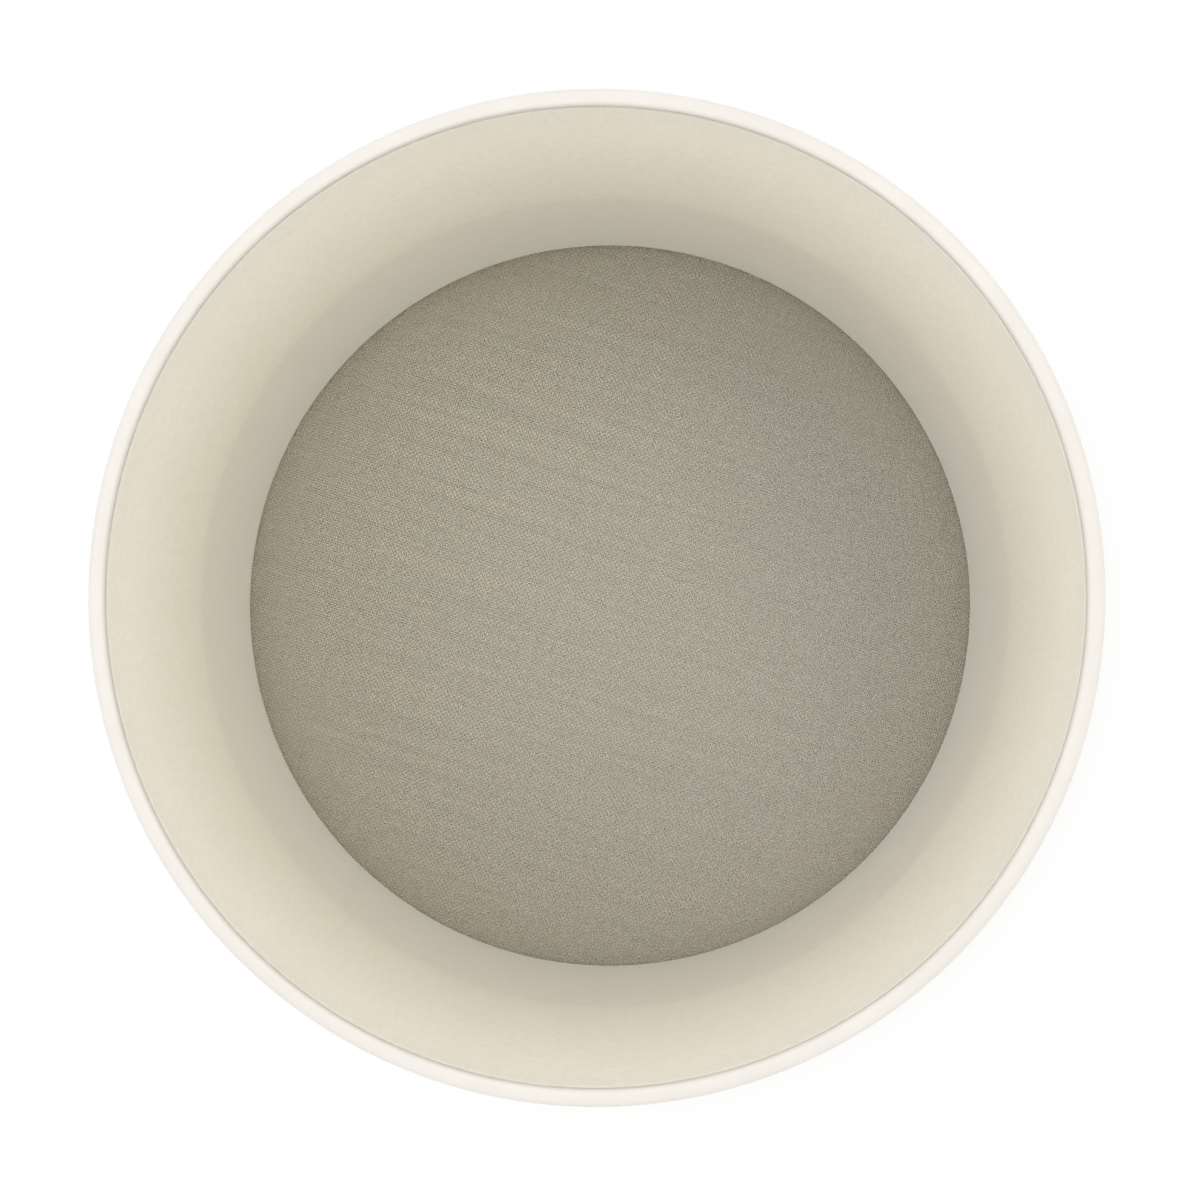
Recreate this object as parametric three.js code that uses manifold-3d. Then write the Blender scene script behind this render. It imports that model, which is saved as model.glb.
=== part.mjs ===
// Deep drum sieve for icing sugar: a plastic drum open at the top, with a fine wire cloth stretched
// across its foot. The cloth's edge is turned up round the drum and gripped there by an outer hoop.
// Millimetres, +Z up. The origin is the centre of the ring that the sieve stands on.

import * as THREE from 'three';
import { mergeVertices } from 'three/addons/utils/BufferGeometryUtils.js';
import Module from 'manifold-3d';

const wasm = await Module();
wasm.setup();

// Drum
const drumRadius = 101;
const wallThickness = 2.6;
const overallHeight = 92;
const seamBreak = 0.5;
const footEdgeRound = 1.0;

// White ring that caps the top edge of the drum
const rimCapThickness = 1.85;
const rimSkirtThickness = 1.1;
const rimSkirtDepth = 7.6;
const rimInnerRound = 0.8;
const rimOuterRound = 2.4;
const rimHemRound = 0.45;

// Outer hoop that grips the cloth and stands below it as a foot
const hoopHeight = 40;
const hoopThickness = 2.8;
const hoopTopRound = 1.2;
const hoopFootRound = 0.6;
const footLipThickness = 3.7;
const footLipWidth = 2.5;

// Snap bead on the drum and the groove for it in the hoop
const beadBelowHoopTop = 5;
const beadWidth = 3;
const beadGrip = 0.3;
const beadRound = 0.6;

// Wire cloth
const wireDiameter = 0.2;
const wireGap = 0.5;
const clothThickness = 0.45;
const clothAngle = THREE.MathUtils.degToRad(-18);
const skirtBelowBead = 3.5;
const wiresPerBar = 17;

// Clearance between neighbouring pieces, and how finely round edges are cut
const clearance = 0.3;
const turnSteps = 60;
const roundFacet = 0.4;
const roundShareOfWall = 0.45;

// Radii and heights that follow from the sizes above
const wallOuter = drumRadius + wallThickness;
const rimSkirtInner = wallOuter + clearance;
const rimOuter = rimSkirtInner + rimSkirtThickness;
const skirtInner = wallOuter + clearance;
const skirtOuter = skirtInner + clothThickness;
const hoopInner = skirtOuter + clearance;
const hoopOuter = hoopInner + hoopThickness;
const beadOuter = hoopInner + beadGrip;
const beadLow = hoopHeight - beadBelowHoopTop - beadWidth / 2;
const beadHigh = beadLow + beadWidth;
const skirtTop = beadLow - skirtBelowBead;
const clothBottom = footLipThickness + clearance;
const clothTop = clothBottom + clothThickness;
const drumBottom = clothTop + clearance;
const rimCapBottom = overallHeight - rimCapThickness;
const drumTop = rimCapBottom - clearance;

// Points of a closed outline of [radius, height, round] corners, with an arc where a corner is rounded
function roundedOutline(corners) {
  const points = [];
  corners.forEach(([r, z, round = 0], i) => {
    const corner = new THREE.Vector2(r, z);
    if (round === 0) {
      points.push(corner);
      return;
    }
    const [beforeR, beforeZ] = corners[(i + corners.length - 1) % corners.length];
    const [afterR, afterZ] = corners[(i + 1) % corners.length];
    const toBefore = new THREE.Vector2(beforeR, beforeZ).sub(corner).normalize();
    const toAfter = new THREE.Vector2(afterR, afterZ).sub(corner).normalize();
    const halfAngle = Math.acos(toBefore.dot(toAfter)) / 2;
    const inward = toBefore.clone().add(toAfter).normalize();
    const centre = corner.clone().addScaledVector(inward, round / Math.sin(halfAngle));
    const start = corner.clone().addScaledVector(toBefore, round / Math.tan(halfAngle)).sub(centre);
    const end = corner.clone().addScaledVector(toAfter, round / Math.tan(halfAngle)).sub(centre);
    const sweep = Math.atan2(start.cross(end), start.dot(end));
    const roundSteps = Math.max(1, Math.round(round / roundFacet));
    for (let step = 0; step <= roundSteps; step += 1) {
      const turned = start.clone().rotateAround(new THREE.Vector2(), (sweep * step) / roundSteps);
      points.push(turned.add(centre));
    }
  });
  return points;
}

// A round is limited by the wall that it is cut on
function fittedRound(round, wall) {
  return Math.min(round, roundShareOfWall * wall);
}

// A closed ring: its outline runs up the outside and down the inside, and is turned about Z
function ringGeometry(corners) {
  const outline = roundedOutline(corners);
  const closed = [...outline, outline[0].clone()];
  return new THREE.LatheGeometry(closed, turnSteps).rotateX(Math.PI / 2);
}

function solidFrom(geometry) {
  const bare = geometry.clone();
  bare.deleteAttribute('normal');
  bare.deleteAttribute('uv');
  const merged = mergeVertices(bare);
  return new wasm.Manifold(
    new wasm.Mesh({
      numProp: 3,
      vertProperties: new Float32Array(merged.attributes.position.array),
      triVerts: new Uint32Array(merged.index.array),
    }),
  );
}

function geometryFrom(solid) {
  const { vertProperties, triVerts } = solid.getMesh();
  const geometry = new THREE.BufferGeometry();
  geometry.setAttribute('position', new THREE.BufferAttribute(vertProperties, 3));
  geometry.setIndex(new THREE.BufferAttribute(triVerts, 1));
  geometry.computeVertexNormals();
  return geometry;
}

// Inverted L: the cap lies on the drum's top edge and the skirt hugs the drum's outside
function rimRingGeometry() {
  const rimSkirtBottom = overallHeight - rimSkirtDepth;
  const hemRound = fittedRound(rimHemRound, rimSkirtThickness);
  const innerRound = fittedRound(rimInnerRound, 2 * (rimCapThickness - seamBreak));
  const outerRound = Math.min(rimOuterRound, rimOuter - drumRadius - 1.25 * innerRound);
  return ringGeometry([
    [rimSkirtInner, rimSkirtBottom, hemRound],
    [rimOuter, rimSkirtBottom, hemRound],
    [rimOuter, overallHeight, outerRound],
    [drumRadius, overallHeight, innerRound],
    [drumRadius, rimCapBottom + seamBreak],
    [drumRadius + seamBreak, rimCapBottom],
    [rimSkirtInner, rimCapBottom],
  ]);
}

// Straight wall with a rounded foot for the cloth to bend over, and the snap bead round its outside
function drumHoopGeometry() {
  const footRound = fittedRound(footEdgeRound, wallThickness);
  const edgeRound = fittedRound(beadRound, Math.min(beadWidth, beadOuter - wallOuter));
  return ringGeometry([
    [drumRadius, drumBottom],
    [wallOuter, drumBottom, footRound],
    [wallOuter, beadLow],
    [beadOuter, beadLow, edgeRound],
    [beadOuter, beadHigh, edgeRound],
    [wallOuter, beadHigh],
    [wallOuter, drumTop],
    [drumRadius + seamBreak, drumTop],
    [drumRadius, drumTop - seamBreak],
  ]);
}

// Hoop with a lip at the foot that the folded cloth sits on, and a groove that the bead snaps into
function clampHoopGeometry() {
  const grooveLow = beadLow - clearance;
  const grooveHigh = beadHigh + clearance;
  const grooveRadius = beadOuter + clearance;
  const grooveRound = fittedRound(beadRound, grooveRadius - hoopInner);
  const lipInner = hoopInner - footLipWidth;
  const topRound = fittedRound(hoopTopRound, hoopThickness);
  const footRound = fittedRound(hoopFootRound, footLipThickness);
  return ringGeometry([
    [lipInner, 0, footRound],
    [hoopOuter, 0, footRound],
    [hoopOuter, hoopHeight, topRound],
    [hoopInner, hoopHeight, topRound],
    [hoopInner, grooveHigh],
    [grooveRadius, grooveHigh, grooveRound],
    [grooveRadius, grooveLow, grooveRound],
    [hoopInner, grooveLow],
    [hoopInner, footLipThickness],
    [lipInner, footLipThickness, footRound],
  ]);
}

// The cloth as a flat net: each bar holds the metal of a group of neighbouring wires
function sieveClothGeometry() {
  const barPitch = wiresPerBar * (wireDiameter + wireGap);
  const wireSection = (Math.PI / 4) * wireDiameter ** 2;
  const barWidth = (wiresPerBar * wireSection) / clothThickness;
  const netRadius = drumRadius + wallThickness / 2;
  const barsEachSide = Math.floor(netRadius / barPitch);
  const disc = new THREE.CylinderGeometry(netRadius, netRadius, clothThickness, turnSteps);
  const border = ringGeometry([
    [drumRadius, clothBottom],
    [skirtOuter, clothBottom],
    [skirtOuter, clothTop],
    [drumRadius, clothTop],
  ]);
  let lattice = null;
  for (const turn of [0, Math.PI / 2]) {
    for (let bar = -barsEachSide; bar <= barsEachSide; bar += 1) {
      const strip = new THREE.BoxGeometry(2 * skirtOuter, barWidth, clothThickness);
      strip.translate(0, bar * barPitch, 0);
      strip.rotateZ(turn + clothAngle);
      strip.translate(0, 0, (clothBottom + clothTop) / 2);
      const solid = solidFrom(strip);
      lattice = lattice === null ? solid : lattice.add(solid);
    }
  }
  disc.rotateX(Math.PI / 2).translate(0, 0, (clothBottom + clothTop) / 2);
  return geometryFrom(lattice.intersect(solidFrom(disc)).add(solidFrom(border)));
}

// The cloth's edge, turned up between the drum and the hoop
function clothSkirtGeometry() {
  return ringGeometry([
    [skirtInner, drumBottom],
    [skirtOuter, drumBottom],
    [skirtOuter, skirtTop],
    [skirtInner, skirtTop],
  ]);
}

const whitePlastic = new THREE.MeshStandardMaterial({ color: 0xf4f0e8, roughness: 0.45, metalness: 0 });
const naturalPlastic = new THREE.MeshStandardMaterial({ color: 0xdfd8c6, roughness: 0.5, metalness: 0 });
const steelWire = new THREE.MeshStandardMaterial({ color: 0xb3ada0, roughness: 0.4, metalness: 0.9 });

function piece(name, geometry, material) {
  const mesh = new THREE.Mesh(geometry, material);
  mesh.name = name;
  return mesh;
}

const sieve = new THREE.Group();
sieve.name = 'icing_sugar_sieve';
sieve.add(
  piece('rim_ring', rimRingGeometry(), whitePlastic),
  piece('drum_hoop', drumHoopGeometry(), naturalPlastic),
  piece('clamp_hoop', clampHoopGeometry(), naturalPlastic),
  piece('sieve_cloth', sieveClothGeometry(), steelWire),
  piece('cloth_skirt', clothSkirtGeometry(), steelWire),
);

export default sieve;
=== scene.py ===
# %% [markdown]
# # Icing sugar sieve
# A deep drum of natural plastic with a white rim, and a fine wire cloth across its foot. The edge of the
# cloth is gripped between the drum and an outer clamp hoop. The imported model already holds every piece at
# its size and place, so this lesson only dresses it: smooth turned plastic, real woven wire, finishes,
# light and a camera.

# %% Load the frame
import math

import bmesh
import bpy
import numpy as np
from mathutils import Matrix, Vector


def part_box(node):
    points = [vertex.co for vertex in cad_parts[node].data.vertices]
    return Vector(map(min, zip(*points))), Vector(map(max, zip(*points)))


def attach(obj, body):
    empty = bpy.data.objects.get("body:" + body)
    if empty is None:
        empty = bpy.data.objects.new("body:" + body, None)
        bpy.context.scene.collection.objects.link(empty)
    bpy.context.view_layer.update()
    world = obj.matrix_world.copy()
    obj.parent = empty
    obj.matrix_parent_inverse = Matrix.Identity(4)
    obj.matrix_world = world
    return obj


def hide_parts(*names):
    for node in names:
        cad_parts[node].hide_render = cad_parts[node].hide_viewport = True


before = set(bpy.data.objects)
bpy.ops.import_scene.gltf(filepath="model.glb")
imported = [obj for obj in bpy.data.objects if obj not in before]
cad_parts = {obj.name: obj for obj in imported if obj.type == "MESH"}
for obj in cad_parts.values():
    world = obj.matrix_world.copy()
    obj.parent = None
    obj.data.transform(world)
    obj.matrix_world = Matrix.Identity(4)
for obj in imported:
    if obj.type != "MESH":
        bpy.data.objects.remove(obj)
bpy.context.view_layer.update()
bpy.ops.object.select_all(action="DESELECT")
MM = 0.001
BODY = "root"
print("CAD nodes:", sorted(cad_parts))

# %% [markdown]
# ## Sizes
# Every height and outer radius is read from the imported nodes, so the dressed pieces sit exactly where the
# solids are. Typing them in again would work too, until someone changed the model. Only what a box can't
# tell is named here: the walls, and the gap that neighbouring pieces keep.

# %% Sizes from the frame, and the walls
rim_low, rim_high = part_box("rim_ring")
drum_low, drum_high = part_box("drum_hoop")
hoop_low, hoop_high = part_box("clamp_hoop")
cloth_low, cloth_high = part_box("sieve_cloth")
skirt_low, skirt_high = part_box("cloth_skirt")

CLEARANCE = 0.3 * MM
WALL = 2.6 * MM
RIM_SKIRT = 1.1 * MM

rim_radius = rim_high.x
wall_outer = rim_radius - RIM_SKIRT - CLEARANCE
drum_radius = wall_outer - WALL
print("inside of the drum, mm:", round(2 * drum_radius / MM, 2))

# %% [markdown]
# ## Turned plastic
# The rim, the drum and the clamp hoop are turned shapes, as a lathe would cut them. A scaled tube
# primitive would give their outside but not their grooves, lips and rounded edges. So each one starts as
# a plane stood upright on the section of its wall. The plane is cut and extruded into the true section,
# its corners are rounded by a vertex bevel, its face is dropped, and the outline that is left is spun
# once round the axis of the drum.

# %% Start a section
SAME_PLACE = 0.001 * MM


def upright_plane(name, inner, outer, low, high):
    """A plane in the XZ plane, from an inner to an outer radius, left in edit mode."""
    middle = ((inner + outer) / 2, 0, (low + high) / 2)
    bpy.ops.mesh.primitive_plane_add(size=1, location=middle, rotation=(math.pi / 2, 0, 0))
    piece = bpy.context.object
    piece.name = name
    piece.data.name = name
    piece.scale = (outer - inner, high - low, 1)
    bpy.ops.object.transform_apply(location=True, rotation=True, scale=True)
    bpy.ops.object.mode_set(mode="EDIT")
    return piece


# %% Extrude one edge of a section, and join it all
STRAIGHT_ANGLE = math.radians(1)


def extrude_edge(piece, radius, height, move):
    """Extrudes the edge whose middle lies at this radius and height."""
    bpy.ops.mesh.select_mode(type="EDGE")
    bpy.ops.mesh.select_all(action="DESELECT")
    section = bmesh.from_edit_mesh(piece.data)
    both_ends = 2 * Vector((radius, 0, height))
    nearest = min(section.edges, key=lambda edge: (edge.verts[0].co + edge.verts[1].co - both_ends).length)
    nearest.select_set(True)
    bmesh.update_edit_mesh(piece.data)
    bpy.ops.mesh.extrude_region_move(TRANSFORM_OT_translate={"value": move})


def one_outline():
    """Joins the faces of a section into one, and drops the points on its straight sides."""
    bpy.ops.mesh.select_mode(type="FACE")
    bpy.ops.mesh.select_all(action="SELECT")
    bpy.ops.mesh.dissolve_faces()
    bpy.ops.mesh.select_all(action="SELECT")
    bpy.ops.mesh.dissolve_limited(angle_limit=STRAIGHT_ANGLE)


# %% Round one corner of a section
ROUND_STEP = 0.3 * MM
LEAST_ROUND_STEPS = 3
ROUND_PROFILE = 0.5


def round_corner(piece, radius, height, size):
    """Rounds the corner that lies at this radius and height."""
    bpy.ops.mesh.select_mode(type="VERT")
    bpy.ops.mesh.select_all(action="DESELECT")
    section = bmesh.from_edit_mesh(piece.data)
    place = Vector((radius, 0, height))
    nearest = min(section.verts, key=lambda point: (point.co - place).length)
    nearest.select_set(True)
    bmesh.update_edit_mesh(piece.data)
    steps = max(LEAST_ROUND_STEPS, round(size / ROUND_STEP))
    bpy.ops.mesh.bevel(affect="VERTICES", offset=size, segments=steps, profile=ROUND_PROFILE)


# %% Spin a section into a ring
TURNS = 256
SMOOTH_ANGLE = math.radians(40)


def spin_section(piece):
    bpy.ops.mesh.select_mode(type="FACE")
    bpy.ops.mesh.select_all(action="SELECT")
    bpy.ops.mesh.delete(type="ONLY_FACE")
    bpy.ops.mesh.select_mode(type="VERT")
    bpy.ops.mesh.select_all(action="SELECT")
    bpy.ops.mesh.spin(steps=TURNS, angle=2 * math.pi, center=(0, 0, 0), axis=(0, 0, 1))
    bpy.ops.mesh.select_all(action="SELECT")
    bpy.ops.mesh.remove_doubles(threshold=SAME_PLACE)
    bpy.ops.mesh.normals_make_consistent(inside=False)
    bpy.ops.object.mode_set(mode="OBJECT")
    bpy.ops.object.shade_smooth_by_angle(angle=SMOOTH_ANGLE)
    print(piece.name, "faces:", len(piece.data.polygons))


# %% [markdown]
# ### Rim
# The rim is a white ring pressed onto the top of the drum. Its section is an inverted L: a cap on the
# drum's top edge and a short skirt down its outside. The skirt is the starting plane, its top edge is
# extruded up to make the corner, and the corner's inner edge is extruded inwards to make the cap. The
# outer shoulder is broad, and the inner edge is tight where the cap meets the wall.

# %% Rim
RIM_CAP = 1.85 * MM
RIM_SHOULDER = 2.4 * MM
RIM_INNER_ROUND = 0.8 * MM
RIM_HEM_ROUND = 0.45 * MM
SEAM_BREAK = 0.5 * MM
cap_bottom = rim_high.z - RIM_CAP
rim_inner_side = rim_radius - RIM_SKIRT

rim = upright_plane("white_rim", rim_inner_side, rim_radius, rim_low.z, cap_bottom)
extrude_edge(rim, rim_radius - RIM_SKIRT / 2, cap_bottom, (0, 0, RIM_CAP))
extrude_edge(rim, rim_inner_side, cap_bottom + RIM_CAP / 2, (drum_radius - rim_inner_side, 0, 0))
one_outline()
round_corner(rim, rim_radius, rim_high.z, RIM_SHOULDER)
round_corner(rim, drum_radius, rim_high.z, RIM_INNER_ROUND)
round_corner(rim, drum_radius, cap_bottom, SEAM_BREAK)
round_corner(rim, rim_radius, rim_low.z, RIM_HEM_ROUND)
round_corner(rim, rim_inner_side, rim_low.z, RIM_HEM_ROUND)
spin_section(rim)

# %% [markdown]
# ### Drum
# The drum is a straight wall. Its foot is rounded on the outside, where the cloth is drawn over it, and a
# bead runs round the outside for the clamp hoop to snap over. The bead could be a ring of its own, but
# the real one is moulded in one piece with the wall. So the plane is cut above and below it, and the edge
# between is extruded.

# %% Cut a section at a height
def cut_level(height):
    bpy.ops.mesh.select_all(action="SELECT")
    bpy.ops.mesh.bisect(plane_co=(0, 0, height), plane_no=(0, 0, 1))


# %% Drum
BEAD_WIDTH = 3.0 * MM
BEAD_BELOW_HOOP_TOP = 5.0 * MM
BEAD_ROUND = 0.6 * MM
DRUM_FOOT_ROUND = 1.0 * MM
DRUM_INNER_ROUND = 0.25 * MM
bead_radius = drum_high.x
bead_middle = hoop_high.z - BEAD_BELOW_HOOP_TOP
bead_low = bead_middle - BEAD_WIDTH / 2
bead_high = bead_middle + BEAD_WIDTH / 2

drum = upright_plane("cream_drum", drum_radius, wall_outer, drum_low.z, drum_high.z)
cut_level(bead_low)
cut_level(bead_high)
extrude_edge(drum, wall_outer, bead_middle, (bead_radius - wall_outer, 0, 0))
one_outline()
round_corner(drum, bead_radius, bead_low, BEAD_ROUND)
round_corner(drum, bead_radius, bead_high, BEAD_ROUND)
round_corner(drum, wall_outer, drum_low.z, DRUM_FOOT_ROUND)
round_corner(drum, drum_radius, drum_low.z, DRUM_INNER_ROUND)
round_corner(drum, drum_radius, drum_high.z, SEAM_BREAK)
spin_section(drum)

# %% [markdown]
# ### Clamp hoop
# The outer hoop grips the cloth's edge against the drum, and the sieve stands on it. A groove inside it
# takes the drum's bead, and a lip at its foot goes in under the folded cloth. The groove isn't cut out of
# a thick wall: the plane starts at the back of the groove, and the wall above and below it is extruded
# inwards from there.

# %% Clamp hoop
LIP_WIDTH = 2.5 * MM
HOOP_TOP_ROUND = 1.2 * MM
HOOP_FOOT_ROUND = 0.6 * MM
GROOVE_ROUND = 0.25 * MM
hoop_radius = hoop_high.x
hoop_inner = skirt_high.x + CLEARANCE
lip_inner = hoop_inner - LIP_WIDTH
lip_top = cloth_low.z - CLEARANCE
groove_radius = bead_radius + CLEARANCE
groove_low = bead_low - CLEARANCE
groove_high = bead_high + CLEARANCE

hoop = upright_plane("cream_clamp_hoop", groove_radius, hoop_radius, hoop_low.z, hoop_high.z)
cut_level(groove_low)
cut_level(groove_high)
for part_low, part_high in ((hoop_low.z, groove_low), (groove_high, hoop_high.z)):
    extrude_edge(hoop, groove_radius, (part_low + part_high) / 2, (hoop_inner - groove_radius, 0, 0))
cut_level(lip_top)
extrude_edge(hoop, hoop_inner, (hoop_low.z + lip_top) / 2, (-LIP_WIDTH, 0, 0))
one_outline()
for corner_height in (groove_low, groove_high):
    round_corner(hoop, groove_radius, corner_height, GROOVE_ROUND)
for corner_radius in (hoop_inner, hoop_radius):
    round_corner(hoop, corner_radius, hoop_high.z, HOOP_TOP_ROUND)
for corner in ((hoop_radius, hoop_low.z), (lip_inner, hoop_low.z), (lip_inner, lip_top)):
    round_corner(hoop, *corner, HOOP_FOOT_ROUND)
spin_section(hoop)

# %% [markdown]
# ## Wire cloth
# The cloth is a plain weave of drawn steel wire: every wire goes over one crossing wire and under the
# next. A flat disc with a woven picture on it would look right only from far away, and would hide what
# lies under it. So the wires are real. One step of one wire is a small ring, extruded down to the next
# crossing and up again. Arrays repeat the step along the wire and the wire across the drum. Each set of
# wires is kept in four bands, because one mesh of them all would be too heavy to handle.

# %% Weave sizes
WIRE_RADIUS = 0.105 * MM
PITCH = 0.70 * MM
WEAVE_RISE = 0.1 * MM
WEAVE_ANGLE = math.radians(-18)
WIRE_SIDES = 4
BANDS = "abcd"
cloth_height = (cloth_low.z + cloth_high.z) / 2
cloth_radius = drum_radius + WALL / 2
wires_each_side = int(cloth_radius / PITCH)
wires_in_band = 2 * math.ceil((2 * wires_each_side + 1) / len(BANDS) / 2)
steps_along = 2 * (wires_each_side // 2) + 4
print("wires in each set:", 2 * wires_each_side + 1)


# %% One step of two neighbouring wires
def weave_step(name, first_wire, rise):
    start = (-steps_along * PITCH, first_wire * PITCH, cloth_height + rise)
    bpy.ops.mesh.primitive_circle_add(
        vertices=WIRE_SIDES, radius=WIRE_RADIUS, location=start, rotation=(0, math.pi / 2, 0)
    )
    piece = bpy.context.object
    piece.name = name
    piece.data.name = name
    bpy.ops.object.transform_apply(location=True, rotation=True, scale=True)
    bpy.ops.object.mode_set(mode="EDIT")
    bpy.ops.mesh.select_all(action="SELECT")
    for way in (-1, 1):
        move = (PITCH, 0, 2 * way * rise)
        bpy.ops.mesh.extrude_region_move(TRANSFORM_OT_translate={"value": move})
    bpy.ops.mesh.select_all(action="SELECT")
    bpy.ops.mesh.duplicate_move(TRANSFORM_OT_translate={"value": (PITCH, PITCH, 0)})
    bpy.ops.object.mode_set(mode="OBJECT")
    return piece


# %% Repeat a mesh
def repeat(piece, count, offset):
    array = piece.modifiers.new("repeat", "ARRAY")
    array.count = count
    array.use_relative_offset = False
    array.use_constant_offset = True
    array.constant_offset_displace = offset
    array.use_merge_vertices = True
    array.merge_threshold = SAME_PLACE
    bpy.ops.object.modifier_apply(modifier=array.name)


# %% Trim the wires to the round of the drum
def points_of(piece):
    places = np.empty(3 * len(piece.data.vertices), np.float32)
    piece.data.vertices.foreach_get("co", places)
    return places.reshape(-1, 3)


def trim_round(piece):
    """Drops the rings that lie outside the round of the cloth, and closes the cut ends."""
    places = points_of(piece)
    across = np.round(places[:, 1] / PITCH) * PITCH
    reach = np.sqrt(np.maximum(cloth_radius**2 - across**2, 0))
    outside = (np.abs(places[:, 0]) > reach) | (np.abs(across) >= cloth_radius)
    bpy.ops.object.mode_set(mode="EDIT")
    bpy.ops.mesh.select_mode(type="VERT")
    bpy.ops.mesh.select_all(action="DESELECT")
    bpy.ops.object.mode_set(mode="OBJECT")
    piece.data.vertices.foreach_set("select", outside)
    bpy.ops.object.mode_set(mode="EDIT")
    bpy.ops.mesh.delete(type="VERT")
    bpy.ops.mesh.select_all(action="SELECT")
    bpy.ops.mesh.fill_holes(sides=WIRE_SIDES)
    bpy.ops.mesh.normals_make_consistent(inside=False)
    bpy.ops.object.mode_set(mode="OBJECT")


# %% [markdown]
# ### Uneven wires
# In real cloth the wires never lie at quite the same distance, and that shows as long fine lines across
# the sieve. An even weave looks drawn by a machine. So each wire is moved a little to one side, by a
# seeded random amount that is the same in every run. The weft, which the loom beats up wire by wire, is
# the less even set.

# %% Spread the wires unevenly
WEFT_SPREAD = 0.03 * MM
WARP_SPREAD = 0.01 * MM
SPARE_WIRES = 4
WEAVE_SEED = 7
uneven = np.random.default_rng(WEAVE_SEED)


def spread_unevenly(piece, spread):
    places = points_of(piece)
    wire = np.round(places[:, 1] / PITCH).astype(int)
    shift = uneven.normal(0, spread, 2 * (wires_each_side + SPARE_WIRES) + 1)
    places[:, 1] += shift[wire + wires_each_side + SPARE_WIRES].astype(np.float32)
    piece.data.vertices.foreach_set("co", places.ravel())


# %% Map each wire to a strip of its own
STRIP_FILL = 0.35


def add_wire_map(piece):
    """A flat map with one strip for each wire, ready for colour to be baked along the wires."""
    places = points_of(piece)
    wire = np.round(places[:, 1] / PITCH)
    strips = wire.max() - wire.min() + 1
    height = (places[:, 2] - cloth_height) / (WEAVE_RISE + WIRE_RADIUS)
    across = (wire - wire.min() + 0.5 + STRIP_FILL * height) / strips
    along = places[:, 0] / (2 * cloth_radius) + 0.5
    corner = np.empty(len(piece.data.loops), np.int32)
    piece.data.loops.foreach_get("vertex_index", corner)
    spots = np.stack([along[corner], across[corner]], 1)
    layer = piece.data.uv_layers.new(name="OFBake")
    layer.uv.foreach_set("vector", spots.astype(np.float32).ravel())


# %% The two sets of wires
def wire_band(name, band, rise, angle, spread):
    first_wire = band * wires_in_band - len(BANDS) * wires_in_band // 2
    piece = weave_step(name, first_wire, rise)
    repeat(piece, steps_along, (2 * PITCH, 0, 0))
    repeat(piece, wires_in_band // 2, (0, 2 * PITCH, 0))
    trim_round(piece)
    spread_unevenly(piece, spread)
    add_wire_map(piece)
    piece.rotation_euler.z = angle
    bpy.ops.object.transform_apply(location=True, rotation=True, scale=True)
    bpy.ops.object.shade_smooth()
    print(name, "triangles:", sum(len(face.vertices) - 2 for face in piece.data.polygons))
    return piece


CROSS_ANGLE = WEAVE_ANGLE + math.pi / 2
weft_wires = []
warp_wires = []
for band, label in enumerate(BANDS):
    weft_wires.append(wire_band(f"weft_wires_{label}", band, WEAVE_RISE, WEAVE_ANGLE, WEFT_SPREAD))
    warp_wires.append(wire_band(f"warp_wires_{label}", band, -WEAVE_RISE, CROSS_ANGLE, WARP_SPREAD))

# %% [markdown]
# ## Finishes
# Each finish is a small graph of nodes round one Principled shader. A noise is read at the piece's own
# place, its range is narrowed, and it mixes two colours or drives the roughness and the bump. The same
# few nodes come back in every finish, so they are made by helpers with short names.

# %% Start a finish
def new_finish(name):
    finish = bpy.data.materials.new(name)
    finish.use_nodes = True
    return finish, finish.node_tree, finish.node_tree.nodes["Principled BSDF"]


def add_node(tree, kind, **settings):
    node = tree.nodes.new(kind)
    for key, value in settings.items():
        setattr(node, key, value)
    return node


def object_place(tree):
    return add_node(tree, "ShaderNodeTexCoord").outputs["Object"]


def height_of(tree, place):
    split = add_node(tree, "ShaderNodeSeparateXYZ")
    tree.links.new(place, split.inputs["Vector"])
    return split.outputs["Z"]


def distance_from_axis(tree, place):
    flat = add_node(tree, "ShaderNodeVectorMath", operation="MULTIPLY")
    flat.inputs[1].default_value = (1, 1, 0)
    tree.links.new(place, flat.inputs[0])
    length = add_node(tree, "ShaderNodeVectorMath", operation="LENGTH")
    tree.links.new(flat.outputs["Vector"], length.inputs[0])
    return length.outputs["Value"]


# %% Patterns and mixes
def noise(tree, place, size, detail):
    """Soft noise, from 0 to 1, whose blotches are about this size in metres."""
    node = add_node(tree, "ShaderNodeTexNoise")
    node.inputs["Scale"].default_value = 1 / size
    node.inputs["Detail"].default_value = detail
    tree.links.new(place, node.inputs["Vector"])
    return node.outputs["Fac"]


def ranged(tree, value, from_low, from_high, to_low, to_high, kind="LINEAR"):
    node = add_node(tree, "ShaderNodeMapRange", interpolation_type=kind)
    ends = {"From Min": from_low, "From Max": from_high, "To Min": to_low, "To Max": to_high}
    for key, number in ends.items():
        node.inputs[key].default_value = number
    tree.links.new(value, node.inputs["Value"])
    return node.outputs["Result"]


def mixed(tree, factor, first, second):
    node = add_node(tree, "ShaderNodeMix", data_type="RGBA")
    tree.links.new(factor, node.inputs["Factor"])
    for socket, colour in ((node.inputs["A"], first), (node.inputs["B"], second)):
        if isinstance(colour, tuple):
            socket.default_value = (*colour, 1)
        else:
            tree.links.new(colour, socket)
    return node.outputs["Result"]


def add_bump(tree, shader, height, strength, depth):
    node = add_node(tree, "ShaderNodeBump")
    node.inputs["Strength"].default_value = strength
    node.inputs["Distance"].default_value = depth
    tree.links.new(height, node.inputs["Height"])
    tree.links.new(node.outputs["Normal"], shader.inputs["Normal"])


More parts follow.
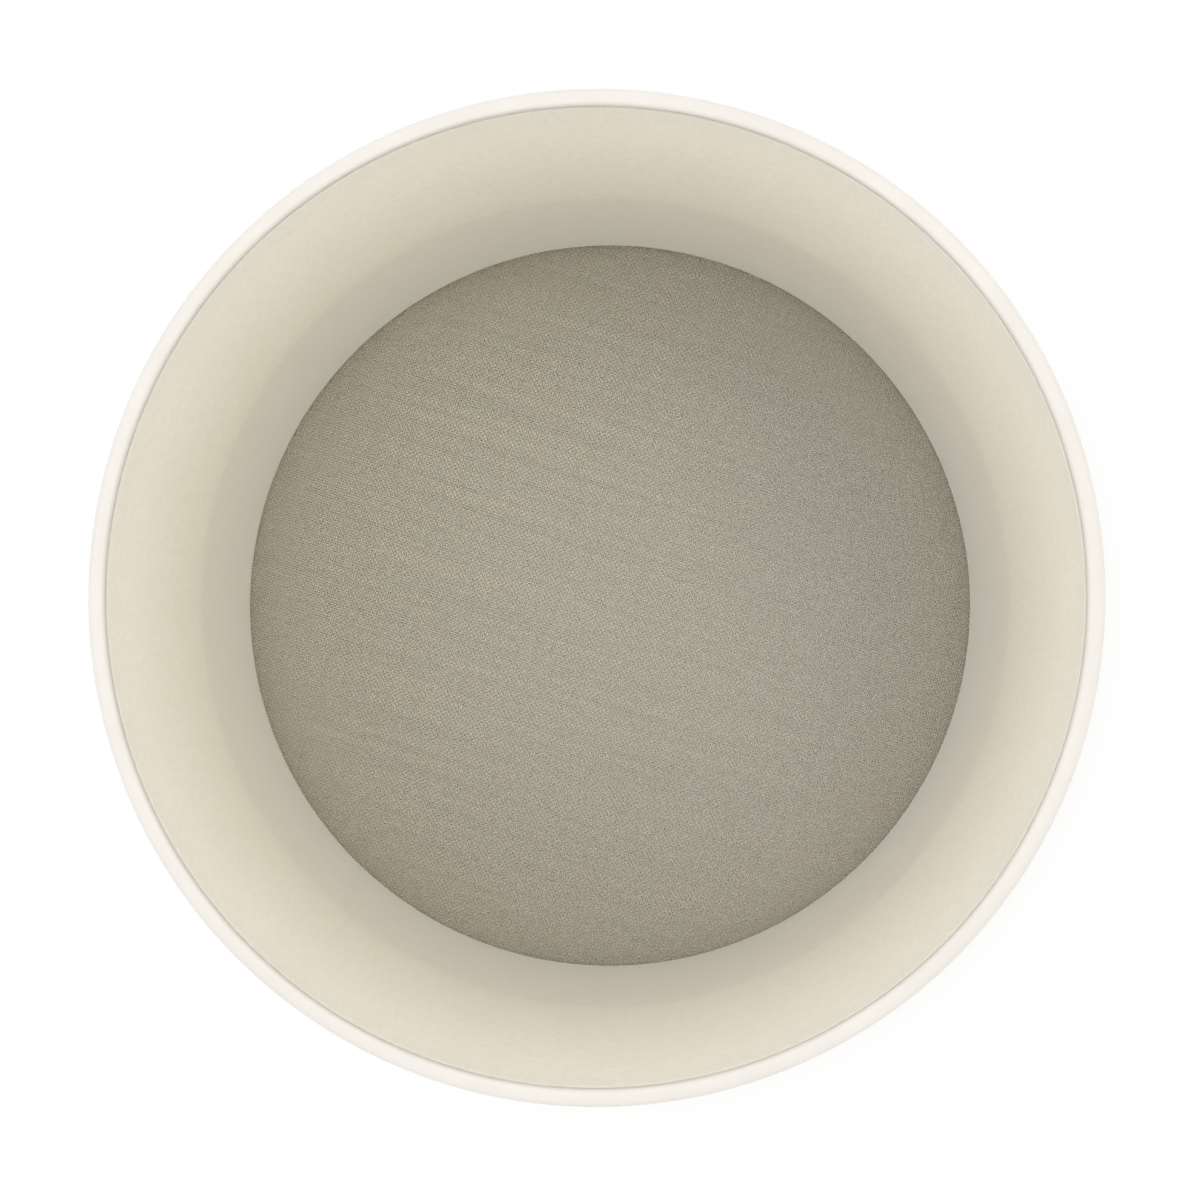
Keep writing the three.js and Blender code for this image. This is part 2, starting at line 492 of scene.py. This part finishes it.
# %% [markdown]
# ### White rim plastic
# The rim is moulded in opaque white plastic with a soft sheen. Its white is warm and not quite even, so
# two close whites are mixed by a broad cloud. A fine grain breaks up the sheen, and a little subsurface
# light keeps the edge from looking like chalk.

# %% White rim plastic
NOISE_LOW, NOISE_HIGH = 0.3, 0.7
CLOUD_DETAIL = 3
RIM_WHITE = (0.8, 0.77, 0.72)
RIM_IVORY = (0.77, 0.74, 0.685)
RIM_CLOUD_SIZE = 12 * MM
RIM_GRAIN_SIZE = 0.7 * MM
RIM_GRAIN_DETAIL = 3
RIM_SHEEN = (0.35, 0.48)
RIM_BUMP = (0.08, 0.05 * MM)
RIM_WEIGHT = 0.3
RIM_DEPTH = 1 * MM
RIM_SPREAD = (1.0, 0.95, 0.85)


def white_plastic():
    finish, tree, shader = new_finish("white rim plastic")
    place = object_place(tree)
    cloud = noise(tree, place, RIM_CLOUD_SIZE, CLOUD_DETAIL)
    grain = noise(tree, place, RIM_GRAIN_SIZE, RIM_GRAIN_DETAIL)
    colour = mixed(tree, ranged(tree, cloud, NOISE_LOW, NOISE_HIGH, 0, 1), RIM_IVORY, RIM_WHITE)
    tree.links.new(colour, shader.inputs["Base Color"])
    tree.links.new(ranged(tree, grain, NOISE_LOW, NOISE_HIGH, *RIM_SHEEN), shader.inputs["Roughness"])
    add_bump(tree, shader, grain, *RIM_BUMP)
    shader.inputs["Subsurface Weight"].default_value = RIM_WEIGHT
    shader.inputs["Subsurface Radius"].default_value = RIM_SPREAD
    shader.inputs["Subsurface Scale"].default_value = RIM_DEPTH
    return finish


# %% [markdown]
# ### Natural plastic
# The drum and the clamp hoop are unpigmented plastic, which is cream and lets some light through.
# Glass-like transmission would look too clear, so the milkiness comes from subsurface scattering, which
# carries light through a wall of a few millimetres. The colour is a soft cloud of two creams with a fine
# darker speckle.

# %% Cream with a cloud and a speckle
CLOUD_SIZE = 16 * MM
GRAIN_SIZE = 1.3 * MM
GRAIN_DETAIL = 4
CREAM_SHEEN = (0.42, 0.55)
CREAM_BUMP = (0.15, 0.1 * MM)
CREAM_WEIGHT = 0.6
CREAM_DEPTH = 2 * MM
CREAM_SPREAD = (1, 1, 1)
CREAM_SPECULAR = 0.4


def cream_colour(tree, place, grain, light, deep, speck):
    cloud = noise(tree, place, CLOUD_SIZE, CLOUD_DETAIL)
    pale = mixed(tree, ranged(tree, cloud, NOISE_LOW, NOISE_HIGH, 0, 1), deep, light)
    return mixed(tree, ranged(tree, grain, NOISE_LOW, NOISE_HIGH, 0, 1), pale, speck)


def cream_gloss(tree, shader, grain):
    tree.links.new(ranged(tree, grain, NOISE_LOW, NOISE_HIGH, *CREAM_SHEEN), shader.inputs["Roughness"])
    add_bump(tree, shader, grain, *CREAM_BUMP)
    shader.inputs["Subsurface Weight"].default_value = CREAM_WEIGHT
    shader.inputs["Subsurface Radius"].default_value = CREAM_SPREAD
    shader.inputs["Subsurface Scale"].default_value = CREAM_DEPTH
    shader.inputs["Specular IOR Level"].default_value = CREAM_SPECULAR


# %% Hoop plastic
OUTER_LIGHT = (0.82, 0.77, 0.66)
OUTER_DEEP = (0.81, 0.755, 0.64)
OUTER_SPECK = (0.77, 0.715, 0.6)


def hoop_plastic():
    finish, tree, shader = new_finish("natural hoop plastic")
    place = object_place(tree)
    grain = noise(tree, place, GRAIN_SIZE, GRAIN_DETAIL)
    colour = cream_colour(tree, place, grain, OUTER_LIGHT, OUTER_DEEP, OUTER_SPECK)
    tree.links.new(colour, shader.inputs["Base Color"])
    cream_gloss(tree, shader, grain)
    return finish


# %% [markdown]
# The drum has the same cream outside, and a lighter copy of it inside: painted light for the daylight that
# comes through the wall. Three marks are then added by height. Below the top of the clamp hoop the wall
# is backed by hoop and steel, so no light comes through, and painted shade makes it a little greyer.
# Towards the foot it is painted lighter again, as painted light from the bright cloth that shines on it.
# At the very top a thin darker line of painted shade sits in the seam under the rim.

# %% Drum plastic
# The inside creams are a lighter copy of the outside ones: painted light for daylight coming through the
# wall.
INNER_LIT_LIGHT = (0.965, 0.918, 0.825)
INNER_LIT_DEEP = (0.955, 0.903, 0.805)
INNER_LIT_SPECK = (0.915, 0.86, 0.755)
# Painted shade: a greyer cream on the wall below the top of the clamp hoop, where no light comes through.
BACKED_SHADE_GREY = (0.84, 0.815, 0.755)
BACKED_SHADE_SHARE = 0.3
BACKED_BLUR = 0.7 * MM
# Painted light: the wall is lighter towards the foot, where the bright cloth shines on it.
FOOT_PAINTED_LIGHT = (0.99, 0.975, 0.93)
# Painted shade: a thin darker line in the seam under the rim.
SEAM_SHADE = (0.9, 0.83, 0.73)


def drum_plastic():
    finish, tree, shader = new_finish("natural drum plastic")
    place = object_place(tree)
    grain = noise(tree, place, GRAIN_SIZE, GRAIN_DETAIL)
    height = height_of(tree, place)
    band_edge = (hoop_high.z - BACKED_BLUR, hoop_high.z + BACKED_BLUR)
    # Painted shade below the top of the clamp hoop.
    backed_shade = ranged(tree, height, *band_edge, BACKED_SHADE_SHARE, 0, "SMOOTHSTEP")
    # Painted light, growing towards the foot.
    painted_foot_light = ranged(tree, height, drum_low.z, hoop_high.z, 1, 0)
    # Painted shade in the seam under the rim.
    seam_shade = ranged(tree, height, drum_high.z - SEAM_BREAK, drum_high.z - SEAM_BREAK / 2, 0, 1)
    # Painted light: the inner face of the wall takes the lighter cream, the outer face the true one.
    outside = ranged(tree, distance_from_axis(tree, place), drum_radius, wall_outer, 0, 1, "SMOOTHSTEP")
    inner = cream_colour(tree, place, grain, INNER_LIT_LIGHT, INNER_LIT_DEEP, INNER_LIT_SPECK)
    inner = mixed(tree, backed_shade, inner, BACKED_SHADE_GREY)
    inner = mixed(tree, painted_foot_light, inner, FOOT_PAINTED_LIGHT)
    inner = mixed(tree, seam_shade, inner, SEAM_SHADE)
    outer = cream_colour(tree, place, grain, OUTER_LIGHT, OUTER_DEEP, OUTER_SPECK)
    tree.links.new(mixed(tree, outside, inner, outer), shader.inputs["Base Color"])
    cream_gloss(tree, shader, grain)
    glow = ranged(tree, height, *band_edge, 0, CREAM_WEIGHT, "SMOOTHSTEP")
    tree.links.new(glow, shader.inputs["Subsurface Weight"])
    return finish


# %% [markdown]
# ### Steel wire
# From above, the cloth is a fine checker of bright dots: the weft catches the light where it bends up
# over the warp, and the warp does not. Light alone shows that too faintly, so highlight and shade are
# painted by height. The weft has a painted highlight on top of its bends and painted shade below, and
# the warp the other way round. Only the crests of the warp get the painted shade, because darker slopes
# would draw lines along it.

# %% Painted highlight and shade along a wire's bends
# Painted highlight and painted shade for the bends of the wires.
STEEL_HIGHLIGHT = (1.0, 0.93, 0.69)
WEFT_LOW_SHADE = (0.24, 0.225, 0.16)
WARP_TOP_SHADE = (0.05, 0.046, 0.034)
WEFT_HEIGHTS = (-0.03 * MM, 0.17 * MM)
WARP_HEIGHTS = (0.08 * MM, 0.2 * MM)
WEFT_PAINTED_BENDS = (WEFT_LOW_SHADE, STEEL_HIGHLIGHT, *WEFT_HEIGHTS)
WARP_PAINTED_BENDS = (STEEL_HIGHLIGHT, WARP_TOP_SHADE, *WARP_HEIGHTS)


def bend_shade(tree, place, low, top, start, end):
    """Paints highlight and shade: from the low to the top colour, between two heights above the middle of
    the cloth.
    """
    upper = ranged(tree, height_of(tree, place), cloth_height + start, cloth_height + end, 0, 1)
    return mixed(tree, upper, low, top)


# %% [markdown]
# Drawn wire also differs a little from wire to wire, which shows as long streaks. They are a noise that a
# Mapping node of the Texture kind turns by the angle of the weave and stretches along the wires. They
# are strong in the weft and faint in the warp.

# %% Streaks along the wires
STREAK_SIZE = (80 * MM, 2 * MM, 1)
STREAK_DETAIL = 2
WEFT_DULL = (0.36, 0.33, 0.262)
WARP_DULL = (0.5, 0.46, 0.365)
WEFT_STREAKS = (WEFT_DULL, 0, 0.8)
WARP_STREAKS = (WARP_DULL, 0.3, 0.5)


def streaks(tree, place, turn):
    along = add_node(tree, "ShaderNodeMapping", vector_type="TEXTURE")
    along.inputs["Rotation"].default_value = (0, 0, turn)
    along.inputs["Scale"].default_value = STREAK_SIZE
    tree.links.new(place, along.inputs["Vector"])
    return noise(tree, along.outputs["Vector"], 1, STREAK_DETAIL)


# %% [markdown]
# Last come two painted shadows of the wall, a pink one and a grey one. Each grows slowly towards its own
# side of the cloth, where the wall shades it from the lamp, tints the wires there and evens them out. A
# noise could place them too, but only at random. Along the wall the cloth is painted paler and warmer,
# as painted light that the cream wall reflects onto it.

# %% Painted shadows and wall light on the cloth
# Painted shadows of the wall on the cloth, one pink and one grey.
PINK_SHADE = (0.55, 0.505, 0.44)
PINK_SHADE_SIDE = (0.7, -0.7, 0)
PINK_SHADE_START = -drum_radius / 2
PINK_SHADE_SHARE = 0.7
GREY_SHADE = (0.47, 0.434, 0.372)
GREY_SHADE_SIDE = (0.9, 0.43, 0)
GREY_SHADE_START = drum_radius / 5
GREY_SHADE_SHARE = 0.8
# Painted light: the cloth is paler and warmer along the wall, lit by the cream wall.
EDGE_WALL_LIGHT = (0.76, 0.7, 0.5)
EDGE_LIGHT_START = 0.75 * drum_radius
EDGE_LIGHT_SHARE = 0.4


def shaded_towards(tree, place, colour, shade_colour, side, start, share):
    """Covers a colour by a painted shade that grows towards one side of the cloth."""
    to_side = add_node(tree, "ShaderNodeVectorMath", operation="DOT_PRODUCT")
    to_side.inputs[1].default_value = side
    tree.links.new(place, to_side.inputs[0])
    cover = ranged(tree, to_side.outputs["Value"], start, drum_radius, 0, share)
    return mixed(tree, cover, colour, shade_colour)


def wall_lit(tree, place, colour):
    cover = ranged(tree, distance_from_axis(tree, place), EDGE_LIGHT_START, drum_radius, 0, EDGE_LIGHT_SHARE)
    return mixed(tree, cover, colour, EDGE_WALL_LIGHT)


# %% Steel wire
STEEL_SHEEN = (0.2, 0.3)


def steel_wire(name, turn, bends, streaked):
    finish, tree, shader = new_finish(name)
    place = object_place(tree)
    streak = streaks(tree, place, turn)
    dull, least, most = streaked
    share = ranged(tree, streak, NOISE_LOW, NOISE_HIGH, least, most)
    colour = mixed(tree, share, bend_shade(tree, place, *bends), dull)
    # Painted shade: the wall's shadows, pink and grey, towards two sides of the cloth.
    colour = shaded_towards(tree, place, colour, PINK_SHADE, PINK_SHADE_SIDE, PINK_SHADE_START, PINK_SHADE_SHARE)
    colour = shaded_towards(tree, place, colour, GREY_SHADE, GREY_SHADE_SIDE, GREY_SHADE_START, GREY_SHADE_SHARE)
    # Painted light from the cream wall along the edge of the cloth.
    tree.links.new(wall_lit(tree, place, colour), shader.inputs["Base Color"])
    tree.links.new(ranged(tree, streak, NOISE_LOW, NOISE_HIGH, *STEEL_SHEEN), shader.inputs["Roughness"])
    shader.inputs["Metallic"].default_value = 1.0
    return finish


# %% [markdown]
# ## Dress the pieces
# Each piece gets its finish, rides on the sieve's only body and stands for the solid that it replaces.
# All eight bands of wire replace the one flat net. The cloth's turned-up edge keeps its solid, because
# the hoop hides it, and only takes the steel finish.

# %% Dress the pieces
def dress(piece, finish, node):
    piece.data.materials.clear()
    piece.data.materials.append(finish)
    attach(piece, BODY)
    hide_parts(node)


dress(rim, white_plastic(), "rim_ring")
dress(drum, drum_plastic(), "drum_hoop")
dress(hoop, hoop_plastic(), "clamp_hoop")
weft_steel = steel_wire("weft steel", WEAVE_ANGLE, WEFT_PAINTED_BENDS, WEFT_STREAKS)
warp_steel = steel_wire("warp steel", CROSS_ANGLE, WARP_PAINTED_BENDS, WARP_STREAKS)
for wire_set, steel in ((weft_wires, weft_steel), (warp_wires, warp_steel)):
    for piece in wire_set:
        dress(piece, steel, "sieve_cloth")
skirt = bpy.data.objects["cloth_skirt"]
skirt.data.materials.clear()
skirt.data.materials.append(weft_steel)
print("finishes:", len(bpy.data.materials))

# %% [markdown]
# ## Floor
# The sieve stands on a plain pale floor. A floor that is only lit never turns quite white, and more light
# would burn out the rim. So what the camera sees of the floor, away from the sieve, glows at exactly
# white. Close to the sieve the floor stays a lit surface and keeps its shadow.

# %% Floor
FLOOR_SIZE = 6.0
FLOOR_COLOUR = (0.8, 0.79, 0.76, 1)
FLOOR_ROUGHNESS = 0.9
FLOOR_SPECULAR = 0.1
SHADOW_REACH = 150 * MM
bpy.ops.mesh.primitive_plane_add(size=FLOOR_SIZE, location=(0, 0, 0))
floor = bpy.context.object
floor.name = "floor"
floor_finish, floor_tree, floor_shader = new_finish("pale floor")
floor_shader.inputs["Base Color"].default_value = FLOOR_COLOUR
floor_shader.inputs["Roughness"].default_value = FLOOR_ROUGHNESS
floor_shader.inputs["Specular IOR Level"].default_value = FLOOR_SPECULAR
floor.data.materials.append(floor_finish)


# %% White where it is seen
def joined(tree, operation, first, second):
    node = add_node(tree, "ShaderNodeMath", operation=operation)
    tree.links.new(first, node.inputs[0])
    tree.links.new(second, node.inputs[1])
    return node.outputs["Value"]


def seen_rays(tree):
    """1 for what is seen directly, in a reflection or through glass, and 0 for light on its way."""
    rays = add_node(tree, "ShaderNodeLightPath").outputs
    mirrored = joined(tree, "MAXIMUM", rays["Is Glossy Ray"], rays["Is Transmission Ray"])
    return joined(tree, "MAXIMUM", rays["Is Camera Ray"], mirrored)


from_axis = distance_from_axis(floor_tree, object_place(floor_tree))
away = ranged(floor_tree, from_axis, hoop_radius, SHADOW_REACH, 0, 1, "SMOOTHSTEP")
white = add_node(floor_tree, "ShaderNodeEmission")
floor_mix = add_node(floor_tree, "ShaderNodeMixShader")
floor_tree.links.new(joined(floor_tree, "MULTIPLY", seen_rays(floor_tree), away), floor_mix.inputs["Fac"])
floor_tree.links.new(floor_shader.outputs["BSDF"], floor_mix.inputs[1])
floor_tree.links.new(white.outputs["Emission"], floor_mix.inputs[2])
floor_tree.links.new(floor_mix.outputs["Shader"], floor_tree.nodes["Material Output"].inputs["Surface"])
print("floor glows white from, mm:", round(SHADOW_REACH / MM))

# %% [markdown]
# ## Light
# The sieve is lit softly from all round, so the world itself is the main lamp. At a strength of 1 a
# colour renders about as it is written, and the world is exactly white where it is seen, like the floor.

# %% World
ROOM_LIGHT = 1.0
world = bpy.data.worlds.new("soft room")
world.use_nodes = True
bpy.context.scene.world = world
room = world.node_tree.nodes["Background"]
room.inputs["Color"].default_value = (1, 1, 1, 1)
room.inputs["Strength"].default_value = ROOM_LIGHT
print("world:", world.name, "at strength", ROOM_LIGHT)

# %% [markdown]
# Three weak softboxes shape that light. One hangs overhead and reaches down into the drum. A cool one
# stands on the left like a window, and a warm one on the right like a room lamp, so the two sides of the
# wall differ a little in colour. Stronger boxes would burn out the white rim.

# %% Softboxes
SOFTBOX_SIZE = 0.9
OVERHEAD_PLACE = (0.1, 0.1, 1.2)
WINDOW_PLACE = (-0.85, 0.25, 0.85)
LAMP_PLACE = (0.8, 0.4, 0.85)
OVERHEAD_WATTS = 1.1
WINDOW_WATTS = 1.5
LAMP_WATTS = 1.2
OVERHEAD_COLOUR = (1.0, 1.0, 1.0)
WINDOW_COLOUR = (0.9, 0.92, 1.0)
LAMP_COLOUR = (1.0, 0.93, 0.75)


def softbox(name, place, watts, colour):
    bpy.ops.object.light_add(type="AREA", location=place)
    box = bpy.context.object
    box.name = name
    box.data.size = SOFTBOX_SIZE
    box.data.energy = watts
    box.data.color = colour
    box.rotation_euler = (-Vector(place)).to_track_quat("-Z", "Y").to_euler()
    print(name, "at", watts, "W")


softbox("overhead softbox", OVERHEAD_PLACE, OVERHEAD_WATTS, OVERHEAD_COLOUR)
softbox("window softbox", WINDOW_PLACE, WINDOW_WATTS, WINDOW_COLOUR)
softbox("lamp softbox", LAMP_PLACE, LAMP_WATTS, LAMP_COLOUR)

# %% [markdown]
# ## Camera
# The photograph looks almost straight down into the drum, from just above the middle. The camera's place,
# aim and lens were worked out from the round outlines of the rim, the band and the cloth, which shrink
# with depth. A track-to constraint could turn near the vertical, so the turn is built from three axes
# instead.

# %% Camera
LENS = 34.37
SENSOR = 36
NEAREST_SEEN = 10 * MM
CAMERA_PLACE = Vector((14.32, -8.40, 325.8)) * MM
CAMERA_AIM = Vector((-0.04855, 0.02827, -1)).normalized()
camera_back = -CAMERA_AIM
camera_right = Vector((0, 1, 0)).cross(camera_back).normalized()
camera_up = camera_back.cross(camera_right)
bpy.ops.object.camera_add(location=CAMERA_PLACE)
camera = bpy.context.object
camera.rotation_euler = Matrix((camera_right, camera_up, camera_back)).transposed().to_euler()
camera.data.lens = LENS
camera.data.sensor_width = SENSOR
camera.data.clip_start = NEAREST_SEEN
bpy.context.scene.camera = camera
bpy.context.scene.view_settings.view_transform = "Standard"
print("camera above the rim, mm:", round((CAMERA_PLACE.z - rim_high.z) / MM, 1))
